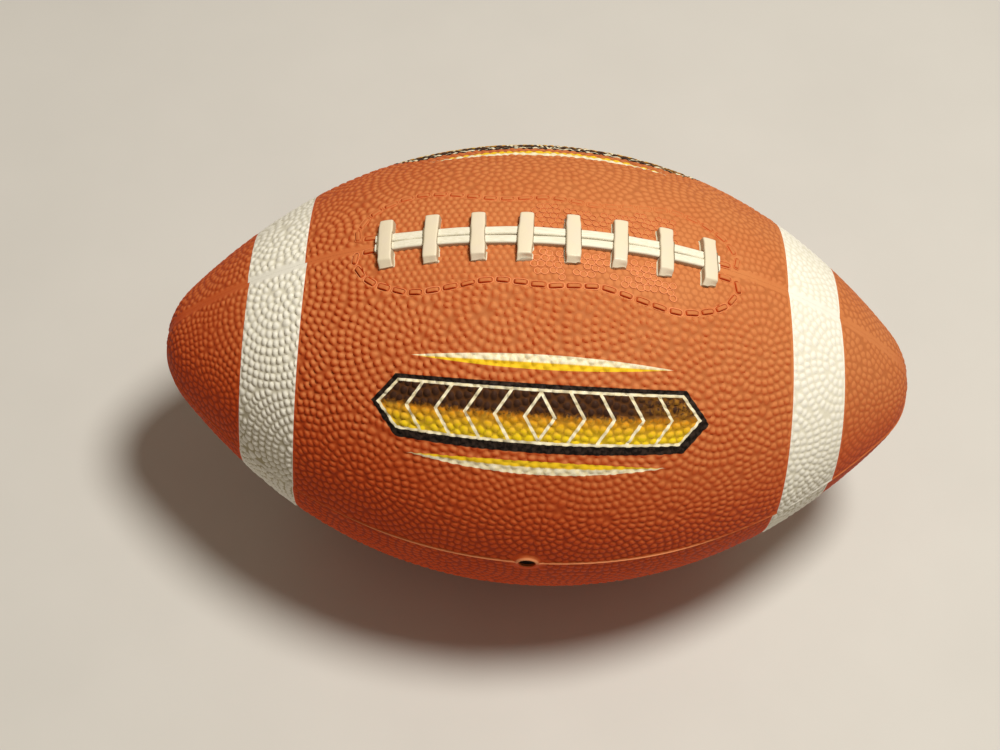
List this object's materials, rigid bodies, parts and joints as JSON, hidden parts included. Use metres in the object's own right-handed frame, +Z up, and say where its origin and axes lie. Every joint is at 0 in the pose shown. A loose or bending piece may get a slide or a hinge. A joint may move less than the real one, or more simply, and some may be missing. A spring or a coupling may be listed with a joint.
{
  "type": "american football",
  "caption": "Laced American football with a pebbled moulded rubber cover, pale end stripes and an inflation valve.",
  "frame": {"origin": "centre of the ball, on its long axis and midway between the two tips; the laces stand 3 mm proud of one side, so the bounding box's centre is 1.5 mm above it", "axes": "+X along the long axis from tip to tip, +Z up through the laced seam, -Y out through the valve on the next seam"},
  "size_m": [0.286, 0.1693, 0.1719],
  "materials": {
    "cover_rubber": "matte, pebbled",
    "stripe_rubber": "matte, pebbled",
    "lace_cord": "matte, woven",
    "lace_bar": "satin",
    "carcass_rubber": "matte",
    "winding_thread": "matte, wound thread",
    "bladder_rubber": "satin",
    "valve_rubber": "satin",
    "plug_rubber": "satin"
  },
  "bodies": {
    "root": {"cover_panel_front_top": "cover_rubber", "cover_panel_rear_top": "cover_rubber", "cover_panel_front_bottom": "cover_rubber", "cover_panel_rear_bottom": "cover_rubber", "stripe_left_front_top": "stripe_rubber", "stripe_left_rear_top": "stripe_rubber", "stripe_left_front_bottom": "stripe_rubber", "stripe_left_rear_bottom": "stripe_rubber", "stripe_right_front_top": "stripe_rubber", "stripe_right_rear_top": "stripe_rubber", "stripe_right_front_bottom": "stripe_rubber", "stripe_right_rear_bottom": "stripe_rubber", "lace_cord_front": "lace_cord", "lace_cord_rear": "lace_cord", "lace_crossbar_1": "lace_bar", "lace_crossbar_2": "lace_bar", "lace_crossbar_3": "lace_bar", "lace_crossbar_4": "lace_bar", "lace_crossbar_5": "lace_bar", "lace_crossbar_6": "lace_bar", "lace_crossbar_7": "lace_bar", "lace_crossbar_8": "lace_bar", "carcass_layer": "carcass_rubber", "thread_winding": "winding_thread", "bladder": "bladder_rubber", "valve_body": "valve_rubber", "valve_plug": "plug_rubber"}
  },
  "joints": []
}
